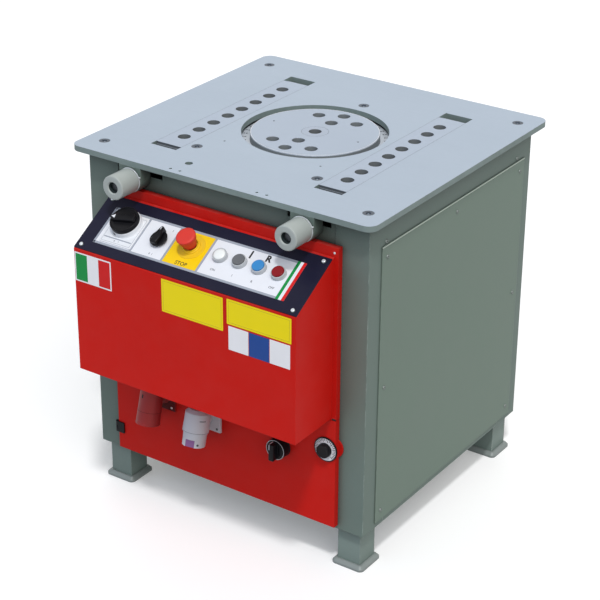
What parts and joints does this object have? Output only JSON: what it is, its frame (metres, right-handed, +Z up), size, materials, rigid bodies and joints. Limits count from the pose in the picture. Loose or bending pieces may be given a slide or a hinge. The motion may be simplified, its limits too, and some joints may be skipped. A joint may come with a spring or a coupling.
{
  "type": "rebar bending machine",
  "caption": "Floor-standing motor-driven rebar bender: a steel table with a turning disc, inlaid pin-hole strips, front rollers and a sloping control box on a closed cabinet.",
  "frame": {"origin": "on the floor, under the middle of the whole machine's box, control box included", "axes": "+X to the right seen from the front, +Y to the back, +Z up along the disc's axis"},
  "size_m": [0.728, 0.8002, 0.789],
  "materials": {
    "table_steel": "ground, lightly oiled",
    "disc_steel": "turned",
    "bush_steel": "hardened",
    "ring_steel": "turned, darker",
    "body_paint": "satin grey-green",
    "red_paint": "satin red",
    "plate_paint": "satin dark blue",
    "inner_paint": "primer",
    "screw_steel": "zinc plated",
    "axle_steel": "blackened",
    "gear_steel": "machined",
    "housing_iron": "cast",
    "motor_alloy": "cast, painted",
    "roller_grey": "satin",
    "belt_rubber": "matt",
    "foot_rubber": "moulded grey",
    "black_plastic": "matt",
    "white_plastic": "gloss",
    "lamp_white": "gloss, translucent",
    "yellow_plastic": "matt",
    "red_plastic": "gloss",
    "grey_plastic": "matt",
    "blue_plastic": "gloss",
    "bezel_grey": "satin",
    "maroon_plastic": "matt",
    "light_plastic": "matt",
    "violet_plastic": "matt",
    "switch_plastic": "matt"
  },
  "bodies": {
    "cabinet": {"legs": "body_paint", "foot_caps": "foot_rubber", "base_frame": "body_paint", "body_frame": "body_paint", "right_panel": "body_paint", "left_panel": "body_paint", "back_panel": "body_paint", "front_sheet": "body_paint", "cover_screws": "screw_steel", "upper_front_panel": "red_paint", "door_hinges": "black_plastic", "table_plate": "table_steel", "table_screws": "screw_steel", "hole_strip_left": "table_steel", "hole_strip_right": "table_steel", "strip_troughs": "body_paint", "roller_lugs": "body_paint", "roller_axles": "axle_steel", "control_box": "red_paint", "control_panel_plate": "plate_paint", "button_bezels": "bezel_grey", "signal_lamp": "lamp_white", "main_switch_plate": "white_plastic", "estop_collar": "yellow_plastic", "contact_blocks": "switch_plastic", "gear_housing": "housing_iron", "shaft_bearings": "gear_steel", "housing_cover": "housing_iron", "motor_housing": "motor_alloy", "switchgear": "inner_paint", "drive_belt": "belt_rubber"},
    "turntable": {"bending_disc": "disc_steel", "centre_bush": "bush_steel", "angle_ring": "ring_steel", "main_shaft": "gear_steel", "main_gear": "gear_steel"},
    "second_stage": {"second_shaft": "gear_steel", "second_gear": "gear_steel"},
    "input_stage": {"input_shaft": "gear_steel", "driven_pulley": "housing_iron"},
    "motor_shaft": {"motor_rotor": "gear_steel", "motor_pulley": "housing_iron"},
    "left_roller": {"roller_left": "roller_grey"},
    "right_roller": {"roller_right": "roller_grey"},
    "door": {"lower_door": "red_paint", "door_hinge_leaves": "black_plastic", "power_inlet": "maroon_plastic", "pedal_socket": "light_plastic", "socket_insert": "violet_plastic", "door_selector_base": "black_plastic", "dial_plate": "black_plastic"},
    "door_selector": {"door_selector_knob": "black_plastic"},
    "dial": {"dial_knob": "black_plastic"},
    "main_switch": {"main_switch_knob": "black_plastic"},
    "mode_selector": {"mode_selector_knob": "black_plastic"},
    "emergency_stop": {"estop_head": "red_plastic"},
    "grey_push": {"grey_button": "grey_plastic"},
    "blue_push": {"blue_button": "blue_plastic"},
    "red_push": {"red_button": "red_plastic"},
    "trip": {"trip_lever": "gear_steel"}
  },
  "joints": [
    {"name": "disc_turn", "type": "hinge", "parent": "cabinet", "child": "turntable", "pos_m": [0, 0.0581, 0.77], "axis": [0, 0, 1], "continuous": true},
    {"name": "second_turn", "type": "hinge", "parent": "cabinet", "child": "second_stage", "pos_m": [-0.15015, 0.18409, 0.65], "axis": [0, 0, 1], "continuous": true},
    {"name": "input_turn", "type": "hinge", "parent": "cabinet", "child": "input_stage", "pos_m": [-0.2456, 0.08863, 0.62], "axis": [0, 0, 1], "continuous": true},
    {"name": "motor_turn", "type": "hinge", "parent": "cabinet", "child": "motor_shaft", "pos_m": [0.07, 0.0841, 0.45], "axis": [0, 0, 1], "continuous": true},
    {"name": "left_roller_turn", "type": "hinge", "parent": "cabinet", "child": "left_roller", "pos_m": [-0.208, -0.32055, 0.748], "axis": [0, 1, 0], "continuous": true},
    {"name": "right_roller_turn", "type": "hinge", "parent": "cabinet", "child": "right_roller", "pos_m": [0.208, -0.32055, 0.748], "axis": [0, 1, 0], "continuous": true},
    {"name": "door_swing", "type": "hinge", "parent": "cabinet", "child": "door", "pos_m": [-0.2843, -0.2735, 0.222], "axis": [0, 0, -1], "range_deg": [0, 110]},
    {"name": "door_selector_turn", "type": "hinge", "parent": "door", "child": "door_selector", "pos_m": [0.1485, -0.2949, 0.246], "axis": [0, 1, 0], "range_deg": [-45, 45]},
    {"name": "dial_turn", "type": "hinge", "parent": "door", "child": "dial", "pos_m": [0.258, -0.2809, 0.276], "axis": [0, 1, 0], "range_deg": [0, 270]},
    {"name": "main_switch_turn", "type": "hinge", "parent": "cabinet", "child": "main_switch", "pos_m": [-0.185, -0.33136, 0.66737], "axis": [0, 0.52, -0.8542], "range_deg": [0, 90]},
    {"name": "mode_selector_turn", "type": "hinge", "parent": "cabinet", "child": "mode_selector", "pos_m": [-0.096, -0.34075, 0.66165], "axis": [0, 0.52, -0.8542], "range_deg": [-45, 45]},
    {"name": "emergency_stop_push", "type": "slide", "parent": "cabinet", "child": "emergency_stop", "axis": [0, 0.52, -0.8542], "range_m": [0, 0.004], "stiffness_N_per_m": 2500},
    {"name": "grey_button_push", "type": "slide", "parent": "cabinet", "child": "grey_push", "axis": [0, 0.52, -0.8542], "range_m": [0, 0.004], "stiffness_N_per_m": 900},
    {"name": "blue_button_push", "type": "slide", "parent": "cabinet", "child": "blue_push", "axis": [0, 0.52, -0.8542], "range_m": [0, 0.004], "stiffness_N_per_m": 900},
    {"name": "red_button_push", "type": "slide", "parent": "cabinet", "child": "red_push", "axis": [0, 0.52, -0.8542], "range_m": [0, 0.004], "stiffness_N_per_m": 900},
    {"name": "trip_swing", "type": "hinge", "parent": "cabinet", "child": "trip", "pos_m": [0.14555, -0.06403, 0.75], "axis": [0, 0, 1], "range_deg": [-25, 25], "stiffness_Nm_per_rad": 0.2}
  ],
  "couplings": [
    {"joint": "second_turn", "follows": "disc_turn", "ratio": -6},
    {"joint": "input_turn", "follows": "disc_turn", "ratio": 30},
    {"joint": "motor_turn", "follows": "disc_turn", "ratio": 75}
  ]
}
